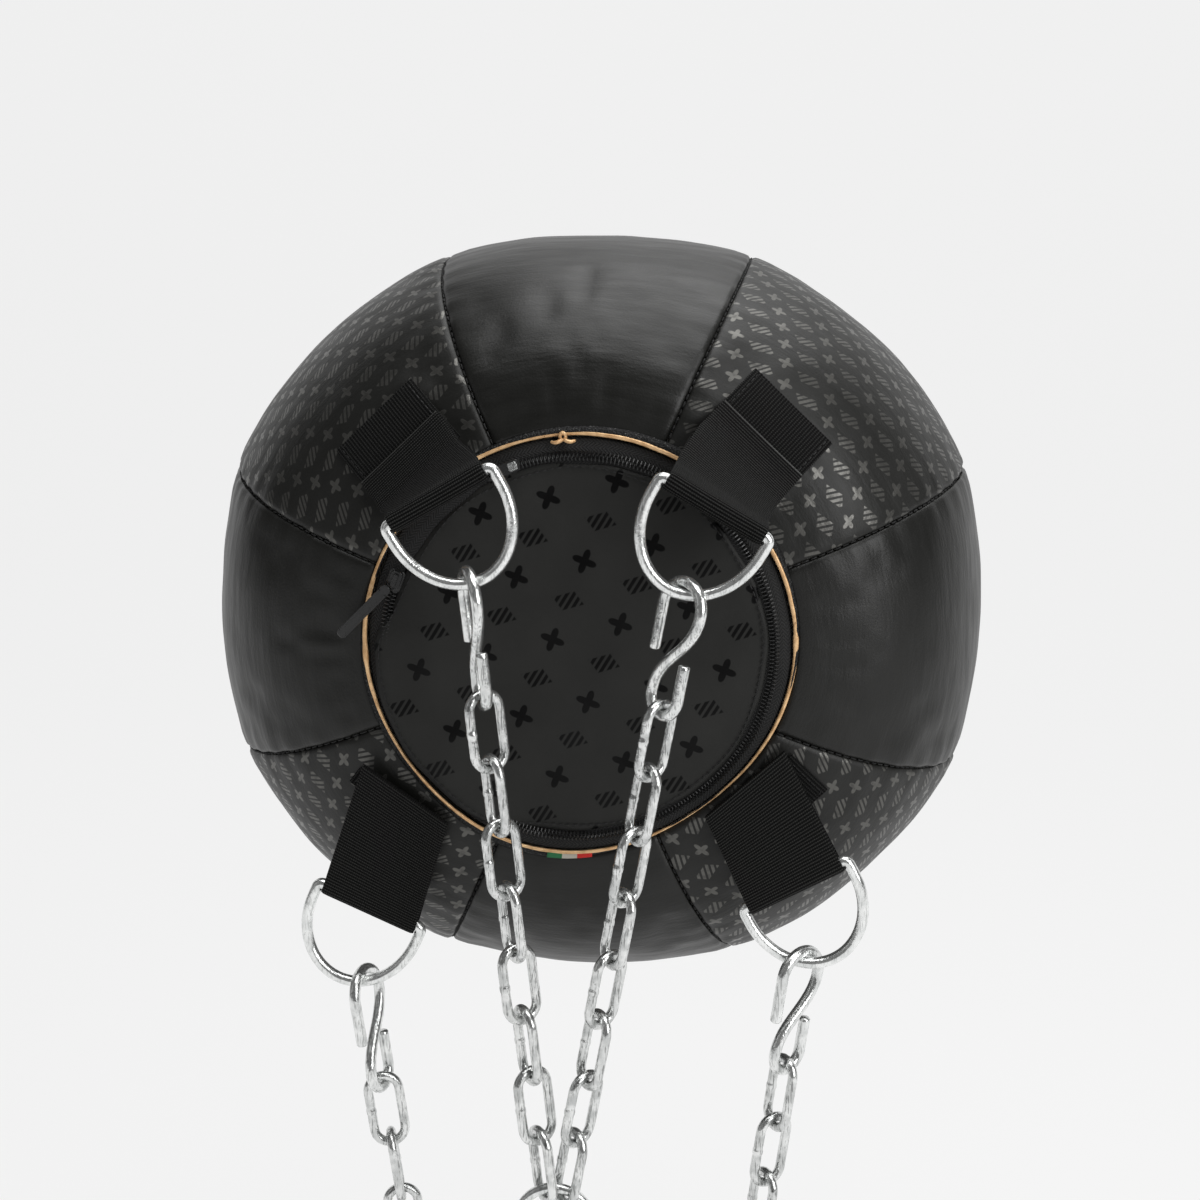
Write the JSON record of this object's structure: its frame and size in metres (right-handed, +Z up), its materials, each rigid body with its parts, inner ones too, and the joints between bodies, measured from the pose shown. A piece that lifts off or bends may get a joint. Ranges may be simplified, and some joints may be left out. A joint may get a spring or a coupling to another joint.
{
  "type": "uppercut bag",
  "caption": "Round stuffed punching bag of sewn panels with a zipped lid, webbing loops, D-rings and S-hooked chains that meet on a hanging ring.",
  "frame": {"origin": "centre of the outer face of the small base disc, opposite the lid", "axes": "+Y runs along the bag's axis from the lid to the base disc, +Z is up with the axis level, so the chains hang along -Z in front of the lid, and +X is to the right of a person who faces the lid"},
  "size_m": [0.403, 0.4053, 0.668],
  "materials": {
    "leatherette": "satin",
    "printed_leatherette": "satin",
    "webbing": "matte",
    "zip_tape": "matte",
    "black_plastic": "satin",
    "black_metal": "gloss",
    "piping": "satin",
    "zinc": "bright zinc plated",
    "filling": "matte"
  },
  "bodies": {
    "bag": {"panel_right": "leatherette", "panel_upper_right": "printed_leatherette", "panel_top": "leatherette", "panel_upper_left": "printed_leatherette", "panel_left": "leatherette", "panel_lower_left": "printed_leatherette", "panel_bottom": "leatherette", "panel_lower_right": "printed_leatherette", "filling": "filling", "base_disc": "leatherette", "lid": "leatherette", "lid_piping": "piping", "zip_tape": "zip_tape", "zip_teeth": "black_plastic", "zip_end": "black_metal", "strap_upper_left": "webbing", "strap_upper_right": "webbing", "strap_lower_left_patch": "webbing", "strap_lower_right_patch": "webbing", "d_ring_upper_left": "zinc", "d_ring_upper_right": "zinc"},
    "zip_slider": {"zip_slider": "black_metal"},
    "zip_pull": {"zip_pull": "black_metal"},
    "upper_hooks": {"hook_upper_left": "zinc", "hook_upper_right": "zinc"},
    "upper_links_1": {"link_upper_left_1": "zinc", "link_upper_right_1": "zinc"},
    "upper_links_2": {"link_upper_left_2": "zinc", "link_upper_right_2": "zinc"},
    "upper_links_3": {"link_upper_left_3": "zinc", "link_upper_right_3": "zinc"},
    "upper_links_4": {"link_upper_left_4": "zinc", "link_upper_right_4": "zinc"},
    "upper_links_5": {"link_upper_left_5": "zinc", "link_upper_right_5": "zinc"},
    "upper_links_6": {"link_upper_left_6": "zinc", "link_upper_right_6": "zinc"},
    "upper_links_7": {"link_upper_left_7": "zinc", "link_upper_right_7": "zinc"},
    "upper_links_8": {"link_upper_left_8": "zinc", "link_upper_right_8": "zinc"},
    "hanging_ring": {"hanging_ring": "zinc"},
    "lower_left_loop": {"strap_lower_left_loop": "webbing"},
    "lower_left_ring": {"d_ring_lower_left": "zinc"},
    "lower_left_hook": {"hook_lower_left": "zinc"},
    "lower_left_link_1": {"link_lower_left_1": "zinc"},
    "lower_left_link_2": {"link_lower_left_2": "zinc"},
    "lower_left_link_3": {"link_lower_left_3": "zinc"},
    "lower_left_link_4": {"link_lower_left_4": "zinc"},
    "lower_left_link_5": {"link_lower_left_5": "zinc"},
    "lower_left_chain_end": {"chain_lower_left_end": "zinc"},
    "lower_right_loop": {"strap_lower_right_loop": "webbing"},
    "lower_right_ring": {"d_ring_lower_right": "zinc"},
    "lower_right_hook": {"hook_lower_right": "zinc"},
    "lower_right_link_1": {"link_lower_right_1": "zinc"},
    "lower_right_link_2": {"link_lower_right_2": "zinc"},
    "lower_right_link_3": {"link_lower_right_3": "zinc"},
    "lower_right_link_4": {"link_lower_right_4": "zinc"},
    "lower_right_link_5": {"link_lower_right_5": "zinc"},
    "lower_right_chain_end": {"chain_lower_right_end": "zinc"}
  },
  "joints": [
    {"name": "zip_travel", "type": "hinge", "parent": "bag", "child": "zip_slider", "pos_m": [0, -0.345, 0], "axis": [0, -1, 0], "range_deg": [0, 210]},
    {"name": "zip_pull_flip", "type": "hinge", "parent": "zip_slider", "child": "zip_pull", "pos_m": [-0.08965, -0.3547, 0.0305], "axis": [-0.7071, 0, 0.7071], "range_deg": [0, 150]},
    {"name": "upper_chains_swing", "type": "hinge", "parent": "bag", "child": "upper_hooks", "pos_m": [0.003, -0.391, 0.0381], "axis": [0.9994, 0, -0.0359], "range_deg": [-70, 9]},
    {"name": "upper_link_1", "type": "hinge", "parent": "upper_hooks", "child": "upper_links_1", "pos_m": [0.00109, -0.391, -0.01497], "axis": [-0.9994, 0, 0.0359], "range_deg": [-10, 10]},
    {"name": "upper_link_2", "type": "hinge", "parent": "upper_links_1", "child": "upper_links_2", "pos_m": [0.00001, -0.391, -0.04501], "axis": [0.9994, 0, -0.0359], "range_deg": [-10, 10]},
    {"name": "upper_link_3", "type": "hinge", "parent": "upper_links_2", "child": "upper_links_3", "pos_m": [-0.00107, -0.391, -0.07525], "axis": [-0.9994, 0, 0.0359], "range_deg": [-10, 10]},
    {"name": "upper_link_4", "type": "hinge", "parent": "upper_links_3", "child": "upper_links_4", "pos_m": [-0.00216, -0.391, -0.10549], "axis": [0.9994, 0, -0.0359], "range_deg": [-10, 10]},
    {"name": "upper_link_5", "type": "hinge", "parent": "upper_links_4", "child": "upper_links_5", "pos_m": [-0.00325, -0.391, -0.13573], "axis": [-0.9994, 0, 0.0359], "range_deg": [-10, 10]},
    {"name": "upper_link_6", "type": "hinge", "parent": "upper_links_5", "child": "upper_links_6", "pos_m": [-0.00434, -0.391, -0.16597], "axis": [0.9994, 0, -0.0359], "range_deg": [-10, 10]},
    {"name": "upper_link_7", "type": "hinge", "parent": "upper_links_6", "child": "upper_links_7", "pos_m": [-0.00542, -0.391, -0.19621], "axis": [-0.9994, 0, 0.0359], "range_deg": [-10, 10]},
    {"name": "upper_link_8", "type": "hinge", "parent": "upper_links_7", "child": "upper_links_8", "pos_m": [-0.00651, -0.391, -0.22645], "axis": [0.9994, 0, -0.0359], "range_deg": [-10, 10]},
    {"name": "hanging_ring_swing", "type": "hinge", "parent": "upper_links_8", "child": "hanging_ring", "pos_m": [-0.00748, -0.391, -0.25333], "axis": [0.9994, 0, -0.0359], "range_deg": [-19, 19]},
    {"name": "lower_left_loop_lift", "type": "hinge", "parent": "bag", "child": "lower_left_loop", "pos_m": [-0.0835, -0.352, -0.0713], "axis": [-0.8192, 0, 0.5736], "range_deg": [0, 60]},
    {"name": "lower_left_ring_swing", "type": "hinge", "parent": "lower_left_loop", "child": "lower_left_ring", "pos_m": [-0.1045, -0.339, -0.1325], "axis": [-0.9135, 0, 0.4067], "range_deg": [-40, 60]},
    {"name": "lower_left_hook_swing", "type": "hinge", "parent": "lower_left_ring", "child": "lower_left_hook", "pos_m": [-0.10835, -0.339, -0.17264], "axis": [1, 0, 0], "range_deg": [-30, 30]},
    {"name": "lower_left_link_1_swing", "type": "hinge", "parent": "lower_left_hook", "child": "lower_left_link_1", "pos_m": [-0.1005, -0.339, -0.22849], "axis": [-0.2705, -0.962, -0.038], "range_deg": [-40, 40]},
    {"name": "lower_left_link_2_swing", "type": "hinge", "parent": "lower_left_link_1", "child": "lower_left_link_2", "pos_m": [-0.09629, -0.339, -0.25839], "axis": [-0.9682, -0.2099, -0.1361], "range_deg": [-40, 40]},
    {"name": "lower_left_link_3_swing", "type": "hinge", "parent": "lower_left_link_2", "child": "lower_left_link_3", "pos_m": [-0.09203, -0.339, -0.2887], "axis": [0.204, -0.9786, 0.0287], "range_deg": [-40, 40]},
    {"name": "lower_left_link_4_swing", "type": "hinge", "parent": "lower_left_link_3", "child": "lower_left_link_4", "pos_m": [-0.08778, -0.339, -0.319], "axis": [0.9682, 0.2099, 0.1361], "range_deg": [-40, 40]},
    {"name": "lower_left_link_5_swing", "type": "hinge", "parent": "lower_left_link_4", "child": "lower_left_link_5", "pos_m": [-0.08352, -0.339, -0.3493], "axis": [-0.204, 0.9786, -0.0287], "range_deg": [-40, 40]},
    {"name": "lower_left_chain_end_swing", "type": "hinge", "parent": "lower_left_link_5", "child": "lower_left_chain_end", "pos_m": [-0.07926, -0.339, -0.3796], "axis": [-0.9682, -0.2099, -0.1361], "range_deg": [-40, 40]},
    {"name": "lower_right_loop_lift", "type": "hinge", "parent": "bag", "child": "lower_right_loop", "pos_m": [0.0795, -0.352, -0.0623], "axis": [-0.7431, 0, -0.6691], "range_deg": [0, 60]},
    {"name": "lower_right_ring_swing", "type": "hinge", "parent": "lower_right_loop", "child": "lower_right_ring", "pos_m": [0.104, -0.347, -0.113], "axis": [-0.8829, 0, -0.4695], "range_deg": [-40, 60]},
    {"name": "lower_right_hook_swing", "type": "hinge", "parent": "lower_right_ring", "child": "lower_right_hook", "pos_m": [0.10876, -0.347, -0.15257], "axis": [1, 0, 0], "range_deg": [-24, 30]},
    {"name": "lower_right_link_1_swing", "type": "hinge", "parent": "lower_right_hook", "child": "lower_right_link_1", "pos_m": [0.10091, -0.347, -0.20843], "axis": [-0.6844, -0.7227, 0.0962], "range_deg": [-40, 40]},
    {"name": "lower_right_link_2_swing", "type": "hinge", "parent": "lower_right_link_1", "child": "lower_right_link_2", "pos_m": [0.09671, -0.347, -0.23833], "axis": [-0.55, 0.8316, 0.0773], "range_deg": [-40, 40]},
    {"name": "lower_right_link_3_swing", "type": "hinge", "parent": "lower_right_link_2", "child": "lower_right_link_3", "pos_m": [0.09245, -0.347, -0.26863], "axis": [0.8184, 0.563, -0.115], "range_deg": [-40, 40]},
    {"name": "lower_right_link_4_swing", "type": "hinge", "parent": "lower_right_link_3", "child": "lower_right_link_4", "pos_m": [0.08819, -0.347, -0.29894], "axis": [0.55, -0.8316, -0.0773], "range_deg": [-40, 40]},
    {"name": "lower_right_link_5_swing", "type": "hinge", "parent": "lower_right_link_4", "child": "lower_right_link_5", "pos_m": [0.08393, -0.347, -0.32924], "axis": [-0.8184, -0.563, 0.115], "range_deg": [-40, 40]},
    {"name": "lower_right_chain_end_swing", "type": "hinge", "parent": "lower_right_link_5", "child": "lower_right_chain_end", "pos_m": [0.07967, -0.347, -0.35954], "axis": [-0.55, 0.8316, 0.0773], "range_deg": [-40, 40]}
  ]
}
